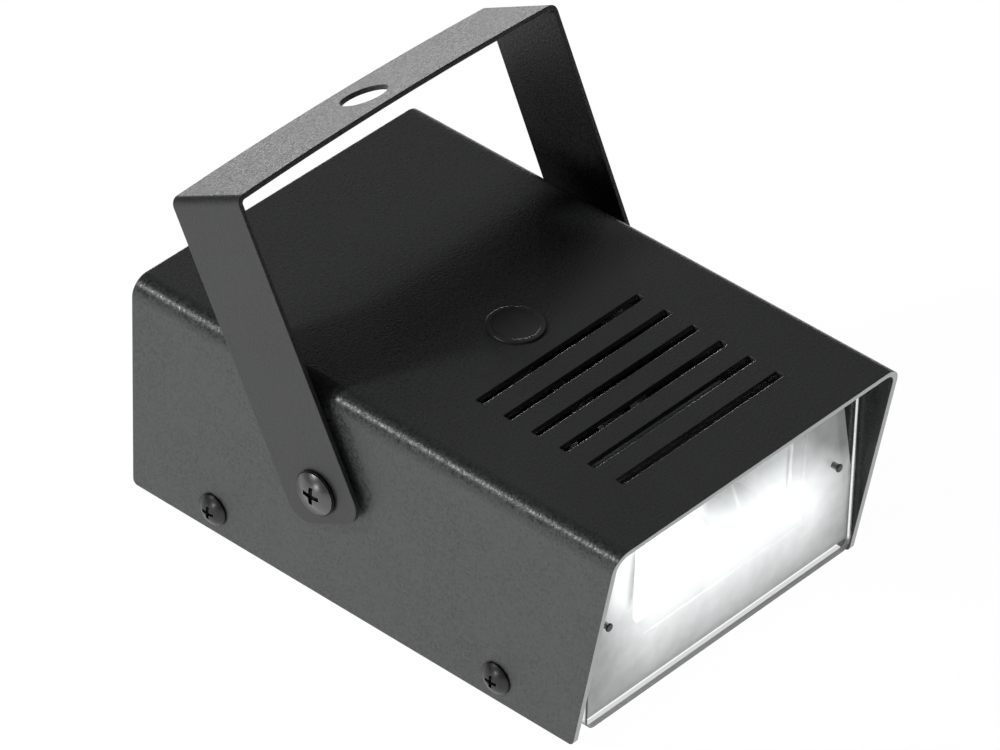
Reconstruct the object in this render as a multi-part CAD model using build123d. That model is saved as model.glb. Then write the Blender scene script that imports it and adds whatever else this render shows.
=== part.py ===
from build123d import *
import math
import os

os.makedirs("parts", exist_ok=True)

# Millimetres, +Z up, the lens faces -Y, z = 0 is the underside of the housing.

# ---- overall size --------------------------------------------------------
LENGTH = 125.0
WIDTH = 83.0
HEIGHT = 50.0
SHEET = 1.3
BEND_R = 4.0
FRONT_SLANT = 8.6
CORNER_R = 1.2
Y_FRONT = -LENGTH / 2
Y_REAR = LENGTH / 2
X_SKIN = WIDTH / 2
X_IN = X_SKIN - SHEET
Z_IN = HEIGHT - SHEET

# ---- named clearances ----------------------------------------------------
FIT = 0.05
RUN_FIT = 0.08
SLIDE_GAP = 0.1
SCREW_CLEAR = 0.2
MOVE_GAP = 0.3
CUT = 1.0

# ---- vent slots and the plugged hole in the top --------------------------
SLOT_COUNT = 6
SLOT_LEN = 46.8
SLOT_W = 2.0
SLOT_END_R = 0.4
SLOT_PITCH = 7.1
SLOT_Y = -12.0
PLUG_X = -0.6
PLUG_Y = -0.9
PLUG_R = 6.0
PLUG_RISE = 0.5
PLUG_EDGE_R = 0.3
PLUG_DISH = 0.1
PLUG_DISH_R = 4.9
PLUG_BARREL_R = 5.0
PLUG_WALL = 0.9
PLUG_DEPTH = 3.4
PLUG_BARB = 0.35
PLUG_BARB_H = 1.4
PLUG_SPLIT = 1.6

# ---- chassis tray --------------------------------------------------------
TRAY_T = 1.0
TRAY_R = 1.5
TRAY_FRONT = -49.5
FLANGE_H = 13.0
FLANGE_FRONT = -45.0
X_TRAY = X_IN - SLIDE_GAP
X_FLANGE = X_TRAY - TRAY_T
Y_PANEL = Y_REAR - SHEET
Y_PANEL_IN = Y_PANEL - TRAY_T
PANEL_TOP = Z_IN - MOVE_GAP
PANEL_CORNER_R = 3.4

# ---- fasteners: thread radius, head radius, head height, nut -------------
M3_R, M3_HEAD_R, M3_HEAD_H, M3_AF, M3_NUT_H = 1.5, 2.8, 1.8, 5.5, 2.4
M4_R, M4_HEAD_R, M4_HEAD_H, M4_AF, M4_NUT_H = 2.0, 3.55, 1.9, 7.0, 3.2
M5_R, M5_HEAD_R, M5_HEAD_H, M5_AF, M5_NUT_H = 2.5, 4.9, 1.7, 8.0, 4.0
RECESS_ARM = 0.42
RECESS_W = 0.22
RECESS_DEPTH = 0.6
HEAD_RIM = 0.2

# ---- cover screws and nuts -----------------------------------------------
COVER_SCREW_Y = (40.5, -34.2)
COVER_SCREW_Z = 5.45
COVER_SCREW_LEN = 6.6

# ---- bracket and its pivots ----------------------------------------------
PIVOT_Y = 10.7
PIVOT_Z = 27.5
BRACKET_TILT = 27.7
STRIP_W = 19.5
STRIP_T = 1.0
ARM_LEN = 62.7
ARM_TAIL = 7.0
TAIL_R = 5.0
ARM_SPREAD = 1.2
BAR_CROWN = 0.9
BAR_BEND_R = 1.8
BAR_HOLE_R = 5.0
SPACER_T = 1.2
ARM_X = X_SKIN + SPACER_T + MOVE_GAP + STRIP_T
SPACER_R = 4.9
PIVOT_RING_H = 0.3
WASHER_T = 1.0
WASHER_R = 5.0
LOCK_T = 1.1
LOCK_R = 4.4
LOCK_SLIT = 0.8
PIVOT_TIP = 1.0

# ---- lens plate and its pins ---------------------------------------------
LENS_Y = -55.1
LENS_T = 2.0
LENS_SIDE_GAP = 1.3
LENS_TOP_GAP = 0.7
LENS_X = X_IN - LENS_SIDE_GAP
LENS_Z0 = 2.6
LENS_Z1 = Z_IN - LENS_TOP_GAP
LENS_R = 2.2
PIN_INSET = 5.2
PIN_X = LENS_X - PIN_INSET
PIN_Z = 25.2
PIN_R = 0.65
PIN_HEAD_R = 0.9
PIN_HEAD_H = 0.35
PIN_LEN = 4.2
PIN_BARB = 0.2

# ---- reflector -----------------------------------------------------------
REF_T = 0.5
REF_Z0 = 3.9
REF_TOP_GAP = 2.2
REF_Z1 = Z_IN - REF_TOP_GAP
REF_GAP = 0.25
WING_X = X_TRAY - MOVE_GAP
WING_TAPER = 5.4
WING_KNEE_Z = 19.0
WING_TOP_X = WING_X - WING_TAPER
LIP_W = 2.0
LIP_D = 1.2
MOUTH_X = 23.0
MOUTH_Z0 = 17.4
MOUTH_Z1 = REF_Z1 - LIP_W - 2 * REF_T
NOTCH_X = 19.5
NOTCH_Z = 21.4
BACK_TAPER = 1.5
BACK_DROP = 3.0
BACK_X = MOUTH_X - BACK_TAPER
BACK_Z0 = 21.5
BACK_Z1 = MOUTH_Z1 - BACK_DROP
REF_BACK = -31.0
FOOT_X = 12.0
FOOT_W = 9.0
FOOT_LEN = 8.5
STUD_Y = -25.5
STUD_TOP = 6.0

# ---- flash tube ----------------------------------------------------------
TUBE_Y = -41.0
TUBE_Z = (BACK_Z0 + BACK_Z1) / 2
TUBE_R = 2.6
TUBE_WALL = 0.8
TUBE_HALF = 14.5
CAP_T = 1.5
CAP_PLUG = 3.0
ROD_R = 0.6
BEAD_R = 1.1
BEAD_LEN = 2.4
ROD_LEN = 3.0
WIRE_R = 0.5
WIRE_X = 18.0
WIRE_BEND = 1.2
WIRE_END = -26.0
TRIGGER_R = 0.25
TRIGGER_OUT_R = 0.2
TRIGGER_TURNS = 6
TRIGGER_SPAN = 20.0
BUSH_R = 2.0
BUSH_FLANGE_R = 2.5
TRIGGER_Z = BACK_Z1 - BUSH_FLANGE_R - 2 * MOVE_GAP
BUSH_FLANGE_T = 0.8
BUSH_LEN = 4.0
LEAD_R = 0.9
LEAD_BEND = 3.0
LEAD_Y = -16.0

# ---- circuit board and its supports --------------------------------------
BOARD_SIDE_GAP = 6.1
BOARD_X = X_FLANGE - BOARD_SIDE_GAP
BOARD_Y0 = -20.0
BOARD_Y1 = 44.0
BOARD_Z = 7.0
BOARD_T = 1.6
BOARD_TOP = BOARD_Z + BOARD_T
POST_INSET = 5.0
POST_X = BOARD_X - POST_INSET
POST_Y = (-15.0, 39.0)
POST_FOOT_R = 2.2
POST_SCREW_LEN = 5.0

# ---- parts on the board: sizes and places --------------------------------
CAN_R = 8.0
CAN_H = 25.0
CAN_XY = ((-9.0, 10.0), (9.0, 10.0))
CAN_GROOVE_Z = 2.4
CAN_GROOVE = 0.45
CAN_EDGE = 0.8
CAN_VENT = 0.3
RES_INSET = 6.8
RES_X = RES_INSET - BOARD_X
RES_Y = 13.0
RES_W = 9.2
RES_LEN = 40.0
RES_LIFT = 3.0
COIL_XY = (9.0, -9.0)
COIL_R = 3.6
COIL_FLANGE_R = 4.6
COIL_FLANGE_T = 1.0
COIL_H = 12.0
FILM_EDGE = 0.7
TRIG_CAP_XY = (-9.0, -9.0)
TRIG_CAP_SIZE = (13.0, 6.0, 11.0)
TIME_CAP_XY = (8.0, 37.0)
TIME_CAP_SIZE = (18.0, 7.0, 12.5)
AXIAL_Y = 26.0
AXIAL_RISE = 2.2
AXIAL_BEND = 0.9
DIODE_X = (-14.0, -10.0, -6.0, -2.0)
DIODE_R, DIODE_LEN, DIODE_SPAN, DIODE_WIRE = 1.35, 5.2, 10.0, 0.4
TIMER_X = (3.0, 7.0, 11.0)
TIMER_R, TIMER_LEN, TIMER_SPAN, TIMER_WIRE = 1.2, 6.3, 10.5, 0.3
DIAC_X, DIAC_R, DIAC_LEN, DIAC_SPAN, DIAC_WIRE = 15.5, 0.9, 4.0, 8.0, 0.25
SCR_INSET = 8.0
SCR_XY = (BOARD_X - SCR_INSET, 25.0)
SCR_BODY = (10.2, 4.4, 9.2)
SCR_TAB_T = 1.3
SCR_TAB_H = 6.4
SCR_HOLE_R = 1.8
SCR_LIFT = 3.5
SCR_LEG = 0.8
SCR_PITCH = 2.54
FUSE_INSET = 7.0
FUSE_X, FUSE_Y = BOARD_X - FUSE_INSET, 4.0
FUSE_RISE = 4.6
FUSE_R, FUSE_LEN, FUSE_CAP, FUSE_GLASS_R = 2.6, 20.0, 5.0, 2.4
FUSE_Z = BOARD_TOP + FUSE_RISE
CLIP_T, CLIP_W, CLIP_IN = 0.4, 5.0, 2.4
BLOCK_X, BLOCK_Y = -12.0, 38.0
BLOCK_W, BLOCK_D, BLOCK_H = 15.0, 8.0, 10.0
BLOCK_PITCH = 5.0
BLOCK_STEP = 2.4
BLOCK_HOLE_R = 1.7
BLOCK_SCREW_R = 1.5
BLOCK_SCREW_SINK = 0.6
BLOCK_WIRE_W, BLOCK_WIRE_H, BLOCK_WIRE_D = 3.2, 3.6, 3.0

# ---- rate control on the rear panel --------------------------------------
POT_X = 18.0
POT_Z = 26.0
POT_BODY_R = 8.2
POT_BODY_LEN = 8.5
BUSHING_R = 3.5
BUSHING_LEN = 6.0
SHAFT_R = 3.0
SHAFT_IN = 4.5
SHAFT_OUT = 14.3
DIAL_R = 13.0
DIAL_T = 0.5
DIAL_TICKS = 11
DIAL_SWEEP = 280.0
TICK_LEN = 2.2
TICK_W = 0.5
TICK_DEPTH = 0.2
POT_WASHER_R = 5.4
POT_WASHER_T = 0.6
POT_NUT_AF = 10.0
POT_NUT_H = 2.0
KNOB_R = 7.5
KNOB_TIP_R = 6.4
KNOB_LEN = 12.0
KNOB_SKIRT_R = 6.3
KNOB_RISE = 0.6
KNOB_FLUTES = 18
KNOB_FLUTE_R = 0.7
KNOB_EDGE = 0.8
GRUB_R = 1.5
GRUB_LEN = 3.4
LUG_X = (-5.0, 0.0, 5.0)
LUG_T = 0.6
LUG_W = 2.0
LUG_LEN = 5.0
POT_LEAD_R = 0.7
POT_LEAD_Z = 10.8
POT_LEAD_Y = 42.0

# ---- cable gland, left open for the mains cord ---------------------------
GLAND_X = -18.0
GLAND_Z = 15.5
GLAND_R = 6.2
GLAND_BORE_R = 3.6
GLAND_AF = 15.0
GLAND_FLANGE = 5.0
GLAND_NECK_R = 5.8
GLAND_NECK = 5.5
GLAND_THREAD_IN = 4.6
GLAND_NUT_H = 3.0
SEAL_R = 4.9
SEAL_BORE_R = 3.1
SEAL_LEN = 8.0
DOME_R = 7.3
DOME_LEN = 9.5
DOME_LIP = 1.6
DOME_ROUND = 2.2

# ---- protective earth ----------------------------------------------------
EARTH_INSET = 9.1
EARTH_X = EARTH_INSET - X_FLANGE
EARTH_Y = 51.0
EARTH_TOP = 7.5
RING_R = 4.0
RING_T = 0.8
RING_REACH = 7.5
RING_W = 3.0
CRIMP_LEN = 4.0
EARTH_LEAD_R = 1.0
EARTH_BEND = 2.5
EARTH_RUN_X = BLOCK_X + BLOCK_PITCH
EARTH_BLOCK_Z = 13.0


# ---- helpers -------------------------------------------------------------
def save(name, *solids):
    """Write one node: a single solid or a group of identical solids."""
    shapes = list(solids)
    node = shapes[0] if len(shapes) == 1 else Compound(children=shapes)
    export_step(node, f"parts/{name}.step")


def along_x(x, y, z):
    """Placement whose local +Z points to world +X."""
    return Location((x, y, z), (0, 90, 0))


def along_y(x, y, z):
    """Placement whose local +Z points to world +Y."""
    return Location((x, y, z), (-90, 0, 0))


def block(size_x, size_y, size_z, x=0.0, y=0.0, z=0.0):
    """Box centred in x and y that stands on z."""
    seat = (Align.CENTER, Align.CENTER, Align.MIN)
    return Pos(x, y, z) * Box(size_x, size_y, size_z, align=seat)


def rod(radius, length, z=0.0):
    """Cylinder on local +Z from z upwards."""
    seat = (Align.CENTER, Align.CENTER, Align.MIN)
    return Pos(0, 0, z) * Cylinder(radius, length, align=seat)


def cone(radius_low, radius_high, length, z=0.0):
    """Cone frustum on local +Z from z upwards."""
    seat = (Align.CENTER, Align.CENTER, Align.MIN)
    return Pos(0, 0, z) * Cone(radius_low, radius_high, length, align=seat)


def ring(outer_r, inner_r, length, z=0.0):
    """Tube on local +Z from z upwards."""
    return rod(outer_r, length, z) - rod(inner_r, length + 2 * CUT, z - CUT)


def hex_prism(across_flats, length, z=0.0):
    """Hexagonal prism on local +Z from z upwards."""
    outline = RegularPolygon(across_flats / 2, 6, major_radius=False)
    return Pos(0, 0, z) * extrude(outline, length)


def hex_nut(across_flats, height, thread_r, z=0.0):
    """Hexagonal nut with both faces chamfered by a cone."""
    flat_r = across_flats / 2
    body = hex_prism(across_flats, height, z)
    body &= cone(flat_r, flat_r + height, height, z)
    body &= cone(flat_r + height, flat_r, height, z)
    return body - rod(thread_r + FIT, height + 2 * CUT, z - CUT)


def cross_recess(head_r, head_h):
    """Cross-shaped driver recess cut into a head whose top is at head_h."""
    arm = 2 * RECESS_ARM * head_r
    depth = RECESS_DEPTH * head_h
    wide = RECESS_W * head_r
    floor = head_h - depth
    cross = block(arm, wide, depth + CUT, z=floor)
    return cross + block(wide, arm, depth + CUT, z=floor)


def dome(base_r, rim_h, height):
    """Head with a short upright rim under a spherical cap."""
    rise = height - rim_h
    ball_r = (base_r ** 2 + rise ** 2) / (2 * rise)
    return rod(base_r, height) & (Pos(0, 0, height - ball_r) * Sphere(ball_r))


def round_screw(thread_r, head_r, head_h, length, ring_h=0.0):
    """Domed cross-recess screw: underside of the head at z = 0, tip below."""
    head = dome(head_r - ring_h, HEAD_RIM * head_h, head_h)
    head -= cross_recess(head_r, head_h)
    if ring_h > 0:
        head = rod(head_r, ring_h) + Pos(0, 0, ring_h) * head
    shank = rod(thread_r, length - thread_r / 2, thread_r / 2 - length)
    tip = cone(thread_r * 3 / 4, thread_r, thread_r / 2, -length)
    return head + shank + tip


def wire(points, radius, bend):
    """Round wire along straight runs joined by tangent arcs."""
    path = FilletPolyline(*points, radius=bend)
    start = Plane(origin=path @ 0, z_dir=path % 0)
    return sweep(start * Circle(radius), path=path)


def channel(width, height, sheet, bend_r):
    """Upside-down U section of bent sheet, drawn in the XZ plane."""
    outer = Pos(0, height / 2) * Rectangle(width, height)
    outer = fillet(outer.vertices().sort_by(Axis.Y)[-2:], bend_r)
    inner_h = height - sheet
    inner = Pos(0, inner_h / 2) * Rectangle(width - 2 * sheet, inner_h)
    inner = fillet(inner.vertices().sort_by(Axis.Y)[-2:], bend_r - sheet)
    gap = Pos(0, -CUT / 2) * Rectangle(width - 2 * sheet, CUT)
    return outer - inner - gap


def mirrored(shape):
    """The shape and its mirror image on the other side of the object."""
    return shape, mirror(shape, Plane.YZ)


# ---- sheet-metal housing -------------------------------------------------
def side_outline():
    """Side view of the cover, the front edge slanted back towards the base."""
    corners = [
        (Y_FRONT, HEIGHT + CUT),
        (Y_REAR, HEIGHT + CUT),
        (Y_REAR, 0),
        (Y_FRONT + FRONT_SLANT, 0),
        (Y_FRONT, HEIGHT),
    ]
    outline = Polygon(*corners, align=None)
    outline = fillet(outline.vertices().group_by(Axis.Y)[0], CORNER_R)
    return extrude(Plane.YZ * outline, WIDTH, both=True)


def top_cover():
    """Bent cover: top and both sides in one sheet, with slots and holes."""
    section = Plane.XZ * channel(WIDTH, HEIGHT, SHEET, BEND_R)
    shell = extrude(section, LENGTH / 2, both=True) & side_outline()
    for i in range(SLOT_COUNT):
        slot = RectangleRounded(SLOT_LEN, SLOT_W, SLOT_END_R)
        at = Pos(0, SLOT_Y - i * SLOT_PITCH, HEIGHT - 2 * SHEET)
        shell -= at * extrude(slot, 3 * SHEET)
    hole_r = PLUG_BARREL_R + SLIDE_GAP
    shell -= Pos(PLUG_X, PLUG_Y) * rod(hole_r, 3 * SHEET, HEIGHT - 2 * SHEET)
    through = rod(M4_R + SCREW_CLEAR, 2 * WIDTH, -WIDTH)
    for y in COVER_SCREW_Y:
        shell -= along_x(0, y, COVER_SCREW_Z) * through
    pivot = rod(M5_R + SCREW_CLEAR, 2 * WIDTH, -WIDTH)
    return shell - along_x(0, PIVOT_Y, PIVOT_Z) * pivot


def base_chassis():
    """Tray: floor, two low side flanges and the rear panel in one sheet."""
    section = channel(2 * X_TRAY, FLANGE_H, TRAY_T, TRAY_R)
    section = Plane.XZ * (Rot(0, 0, 180) * section)
    length = Y_PANEL - TRAY_FRONT
    tray = Pos(0, Y_PANEL, FLANGE_H) * extrude(section, length)
    front = block(2 * WIDTH, FLANGE_FRONT - TRAY_FRONT, HEIGHT, z=TRAY_T + TRAY_R)
    tray -= Pos(0, (FLANGE_FRONT + TRAY_FRONT) / 2) * front
    panel = Pos(0, PANEL_TOP / 2) * Rectangle(2 * X_TRAY, PANEL_TOP)
    panel = fillet(panel.vertices().group_by(Axis.Y)[-1], PANEL_CORNER_R)
    panel = fillet(panel.vertices().group_by(Axis.Y)[0], TRAY_R)
    tray += Pos(0, Y_PANEL) * extrude(Plane.XZ * panel, TRAY_T)
    return tray - chassis_holes()


def chassis_holes():
    """Every hole punched in the tray."""
    cut_r = M4_R + SCREW_CLEAR
    cut = Part()
    for y in COVER_SCREW_Y:
        cut += along_x(0, y, COVER_SCREW_Z) * rod(cut_r, 2 * WIDTH, -WIDTH)
    through = TRAY_T + 2 * CUT
    for y in POST_Y:
        for x in (-POST_X, POST_X):
            cut += Pos(x, y) * rod(POST_FOOT_R + FIT, through, -CUT)
    for x in (-FOOT_X, FOOT_X):
        cut += Pos(x, STUD_Y) * rod(M3_R + FIT, through, -CUT)
    cut += Pos(EARTH_X, EARTH_Y) * rod(M4_R + FIT, through, -CUT)
    at_pot = along_y(POT_X, Y_PANEL_IN - CUT, POT_Z)
    cut += at_pot * rod(BUSHING_R + SLIDE_GAP, through)
    at_gland = along_y(GLAND_X, Y_PANEL_IN - CUT, GLAND_Z)
    return cut + at_gland * rod(GLAND_R + SLIDE_GAP, through)


def hole_plug():
    """Snap-in plug: rimmed cap, split barrel and a barb under the sheet."""
    cap = rod(PLUG_R, PLUG_RISE)
    cap = fillet(cap.edges().sort_by(Axis.Z)[-1], PLUG_EDGE_R)
    cap -= cone(PLUG_DISH_R - PLUG_DISH, PLUG_DISH_R, PLUG_DISH, PLUG_RISE - PLUG_DISH)
    bore_r = PLUG_BARREL_R - PLUG_WALL
    barrel = rod(PLUG_BARREL_R, PLUG_DEPTH, -PLUG_DEPTH)
    under = -SHEET - SLIDE_GAP
    slope = cone(PLUG_BARREL_R, PLUG_BARREL_R + PLUG_BARB, PLUG_BARB_H, under - PLUG_BARB_H)
    barrel = barrel + slope - rod(bore_r, PLUG_DEPTH + CUT, -PLUG_DEPTH - CUT)
    split = block(3 * PLUG_R, PLUG_SPLIT, PLUG_DEPTH, z=under - PLUG_DEPTH)
    barrel -= split + Rot(0, 0, 90) * split
    return Pos(PLUG_X, PLUG_Y, HEIGHT) * (cap + barrel)


def cover_screws():
    """Four round-head screws that hold the cover to the tray."""
    screw = round_screw(M4_R, M4_HEAD_R, M4_HEAD_H, COVER_SCREW_LEN)
    found = []
    for y in COVER_SCREW_Y:
        found += mirrored(along_x(X_SKIN, y, COVER_SCREW_Z) * screw)
    return found


def cover_nuts():
    """Four nuts behind the tray's side flanges."""
    nut = hex_nut(M4_AF, M4_NUT_H, M4_R)
    found = []
    for y in COVER_SCREW_Y:
        found += mirrored(along_x(X_FLANGE - M4_NUT_H, y, COVER_SCREW_Z) * nut)
    return found


# ---- tilting bracket -----------------------------------------------------
def bracket_profile(inset):
    """Face of the bent strip in arm coordinates: x across, y up the arm."""
    slope = ARM_SPREAD / ARM_LEN
    top = ARM_LEN - inset
    low_x = ARM_X - slope * ARM_TAIL - inset
    high_x = ARM_X + slope * top - inset
    low = -ARM_TAIL - (CUT if inset > 0 else 0)
    arch = ThreePointArc((high_x, top), (0, top + BAR_CROWN), (-high_x, top))
    sides = Polyline((-high_x, top), (-low_x, low), (low_x, low), (high_x, top))
    return make_face(arch + sides)


def bracket():
    """U-shaped strip that hangs on the pivots, with a hole in the crossbar."""
    outer = extrude(Plane.XZ * bracket_profile(0.0), STRIP_W / 2, both=True)
    inner = extrude(Plane.XZ * bracket_profile(STRIP_T), STRIP_W, both=True)
    corners = outer.edges().filter_by(Axis.Y).group_by(Axis.Z)[-1]
    outer = fillet(corners, BAR_BEND_R)
    corners = inner.edges().filter_by(Axis.Y).group_by(Axis.Z)[-1]
    inner = fillet(corners, BAR_BEND_R - STRIP_T)
    reach = ARM_LEN + BAR_CROWN + CUT
    side = Pos(0, (reach - ARM_TAIL) / 2) * Rectangle(STRIP_W, reach + ARM_TAIL)
    side = fillet(side.vertices().group_by(Axis.Y)[0], TAIL_R)
    strip = (outer - inner) & extrude(Plane.YZ * side, WIDTH, both=True)
    strip -= rod(BAR_HOLE_R, 4 * STRIP_T, ARM_LEN - 2 * STRIP_T)
    strip -= along_x(0, 0, 0) * rod(M5_R + RUN_FIT, 2 * WIDTH, -WIDTH)
    return Pos(0, PIVOT_Y, PIVOT_Z) * Rot(-BRACKET_TILT, 0, 0) * strip


def pivot_parts():
    """Screw, spacer, washer, lock washer and nut of one pivot, on +X."""
    head_x = ARM_X + MOVE_GAP
    nut_x = X_IN - WASHER_T - LOCK_T - M5_NUT_H
    length = head_x - nut_x + PIVOT_TIP
    hole_r = M5_R + SLIDE_GAP
    screw = round_screw(M5_R, M5_HEAD_R, M5_HEAD_H - PIVOT_RING_H, length, PIVOT_RING_H)
    spacer = ring(SPACER_R, hole_r, SPACER_T)
    washer = ring(WASHER_R, hole_r, WASHER_T)
    lock = ring(LOCK_R, hole_r, LOCK_T)
    lock -= Pos(LOCK_R, 0, 0) * block(2 * LOCK_R, LOCK_SLIT, LOCK_T)
    nut = hex_nut(M5_AF, M5_NUT_H, M5_R)
    return {
        "pivot_screws": along_x(head_x, PIVOT_Y, PIVOT_Z) * screw,
        "pivot_spacers": along_x(X_SKIN, PIVOT_Y, PIVOT_Z) * spacer,
        "pivot_washers": along_x(X_IN - WASHER_T, PIVOT_Y, PIVOT_Z) * washer,
        "pivot_lock_washers": along_x(X_IN - WASHER_T - LOCK_T, PIVOT_Y, PIVOT_Z) * lock,
        "pivot_nuts": along_x(nut_x, PIVOT_Y, PIVOT_Z) * nut,
    }


# ---- lens, reflector and flash tube --------------------------------------
def lens_plate():
    """Clear front plate with rounded corners and two pin holes."""
    height = LENS_Z1 - LENS_Z0
    face = RectangleRounded(2 * LENS_X, height, LENS_R)
    plate = Pos(0, LENS_Y, LENS_Z0 + height / 2) * Rot(90, 0, 0) * extrude(face, -LENS_T)
    for x in (-PIN_X, PIN_X):
        plate -= along_y(x, LENS_Y - CUT, PIN_Z) * rod(PIN_R + FIT, LENS_T + 2 * CUT)
    return plate


def lens_pins():
    """Two push-in pins through the lens plate and the reflector's wings."""
    head = rod(PIN_HEAD_R, PIN_HEAD_H, -PIN_HEAD_H)
    head = fillet(head.edges().sort_by(Axis.Z)[0], PIN_HEAD_H / 2)
    grip = LENS_T + REF_GAP + REF_T + FIT
    tip = cone(PIN_R + PIN_BARB, PIN_R / 2, PIN_LEN - grip, grip)
    pin = head + rod(PIN_R, grip) + tip
    return mirrored(along_y(PIN_X, LENS_Y, PIN_Z) * pin)


def mouth_plane():
    """Y of the back of the reflector's front sheet."""
    return LENS_Y + LENS_T + REF_GAP + REF_T


def window(half_x, low, high, y):
    """Upright rectangle facing the front at the given y."""
    outline = Pos(0, (low + high) / 2) * Rectangle(2 * half_x, high - low)
    return (Plane.XZ.offset(-y) * outline).face()


def trough(grow):
    """Solid of the reflector's cavity, flared lip included, grown by grow."""
    lip = LIP_W + grow
    y_front = mouth_plane()
    y_neck = y_front + LIP_D
    front = window(MOUTH_X + lip, MOUTH_Z0 - lip, MOUTH_Z1 + lip, y_front)
    neck = window(MOUTH_X + grow, MOUTH_Z0 - grow, MOUTH_Z1 + grow, y_neck)
    back = window(BACK_X + grow, BACK_Z0 - grow, BACK_Z1 + grow, REF_BACK + grow)
    return loft([front, neck]) + loft([neck, back])


def bezel():
    """Flat front sheet with two wings around the mouth of the reflector."""
    half = [
        (WING_X, REF_Z0),
        (WING_X, WING_KNEE_Z),
        (WING_TOP_X, REF_Z1),
    ]
    outline = half + [(-x, z) for x, z in reversed(half)]
    lip_x = MOUTH_X + LIP_W
    low, high = MOUTH_Z0 - LIP_W, MOUTH_Z1 + LIP_W
    mouth = [
        (-lip_x, NOTCH_Z),
        (-NOTCH_X - LIP_W, low),
        (lip_x, low),
        (lip_x, high),
        (-lip_x, high),
    ]
    face = Polygon(*outline, align=None) - Polygon(*mouth, align=None)
    for x in (-PIN_X, PIN_X):
        face -= Pos(x, PIN_Z) * Circle(PIN_R + FIT)
    return Pos(0, mouth_plane()) * extrude(Plane.XZ * face, REF_T)


def reflector():
    """Folded bright sheet: bezel, trough, and two feet on the tray."""
    shell = bezel() + (trough(REF_T) - trough(0.0))
    y_back = REF_BACK + REF_T
    drop = BACK_Z0 - TRAY_T
    for x in (-FOOT_X, FOOT_X):
        strip = block(FOOT_W, REF_T, drop, x, REF_BACK + REF_T / 2, TRAY_T)
        foot = block(FOOT_W, FOOT_LEN, REF_T, x, y_back + FOOT_LEN / 2 - REF_T, TRAY_T)
        foot -= Pos(x, STUD_Y) * rod(M3_R + SCREW_CLEAR, 3 * TRAY_T, 0)
        shell += strip + foot
    through = rod(BUSH_R + FIT, REF_T + 2 * CUT)
    for x, z in bush_places():
        shell -= along_y(x, REF_BACK - CUT, z) * through
    return shell


def bush_places():
    """Where the tube's wires and the trigger wire leave the reflector."""
    return [(-WIRE_X, TUBE_Z), (WIRE_X, TUBE_Z), (0.0, TRIGGER_Z)]


def reflector_studs():
    """Two studs pressed into the floor, flush underneath."""
    stud = rod(M3_R, STUD_TOP)
    return [Pos(x, STUD_Y) * stud for x in (-FOOT_X, FOOT_X)]


def reflector_nuts():
    """Two nuts that clamp the reflector's feet."""
    nut = hex_nut(M3_AF, M3_NUT_H, M3_R, TRAY_T + REF_T)
    return [Pos(x, STUD_Y) * nut for x in (-FOOT_X, FOOT_X)]


def flash_tube():
    """Straight glass tube across the reflector."""
    glass = ring(TUBE_R, TUBE_R - TUBE_WALL, 2 * TUBE_HALF, -TUBE_HALF)
    return along_x(0, TUBE_Y, TUBE_Z) * glass


def tube_electrodes():
    """End cap, inner electrode and lead-out wire at each end of the tube."""
    plug_r = TUBE_R - TUBE_WALL - FIT
    end = rod(TUBE_R, CAP_T) + rod(plug_r, CAP_PLUG, -CAP_PLUG)
    end += rod(ROD_R, ROD_LEN, -CAP_PLUG - ROD_LEN)
    end += rod(BEAD_R, BEAD_LEN, -CAP_PLUG - ROD_LEN - BEAD_LEN)
    end = along_x(TUBE_HALF, TUBE_Y, TUBE_Z) * end
    path = [
        (TUBE_HALF + CAP_T / 2, TUBE_Y, TUBE_Z),
        (WIRE_X, TUBE_Y, TUBE_Z),
        (WIRE_X, WIRE_END, TUBE_Z),
    ]
    return mirrored(end + wire(path, WIRE_R, WIRE_BEND))


def trigger_wire():
    """Bare wire wound round the tube, led out from its middle turn."""
    turn_r = TUBE_R + TRIGGER_R
    line = Helix(TRIGGER_SPAN / TRIGGER_TURNS, TRIGGER_SPAN, turn_r)
    start = Plane(origin=line @ 0, z_dir=line % 0)
    coil = sweep(start * Circle(TRIGGER_R), path=line)
    coil = Pos(0, 0, -TRIGGER_SPAN / 2) * Rot(0, 0, 180) * coil
    coil = along_x(0, TUBE_Y, TUBE_Z) * coil
    path = [
        (0, TUBE_Y, TUBE_Z + turn_r),
        (0, TUBE_Y, TRIGGER_Z),
        (0, WIRE_END, TRIGGER_Z),
    ]
    return coil + wire(path, TRIGGER_OUT_R, WIRE_BEND)


def lead_bushes():
    """Ceramic bushes in the reflector's back."""
    found = []
    for x, z in bush_places():
        wire_r = TRIGGER_OUT_R if x == 0 else WIRE_R
        bush = rod(BUSH_FLANGE_R, BUSH_FLANGE_T, -BUSH_FLANGE_T) + rod(BUSH_R, BUSH_LEN)
        bush -= rod(wire_r + FIT, 2 * BUSH_LEN, -BUSH_LEN)
        found.append(along_y(x, REF_BACK, z) * bush)
    return found


def tube_leads():
    """Insulated leads from the bushes down to the circuit board."""
    found = []
    for x, z in bush_places():
        path = [(x, WIRE_END, z), (x, LEAD_Y, z), (x, LEAD_Y, BOARD_TOP)]
        found.append(wire(path, LEAD_R, LEAD_BEND))
    return found


# ---- circuit board -------------------------------------------------------
def circuit_board():
    """Board with four screw holes."""
    depth = BOARD_Y1 - BOARD_Y0
    board = block(2 * BOARD_X, depth, BOARD_T, 0, (BOARD_Y0 + BOARD_Y1) / 2, BOARD_Z)
    for y in POST_Y:
        for x in (-POST_X, POST_X):
            board -= Pos(x, y, 0) * rod(M3_R + SCREW_CLEAR, BOARD_TOP + CUT)
    return board


def at_posts(shape):
    """A copy of the shape at each board support."""
    return [Pos(x, y) * shape for y in POST_Y for x in (-POST_X, POST_X)]


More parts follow.
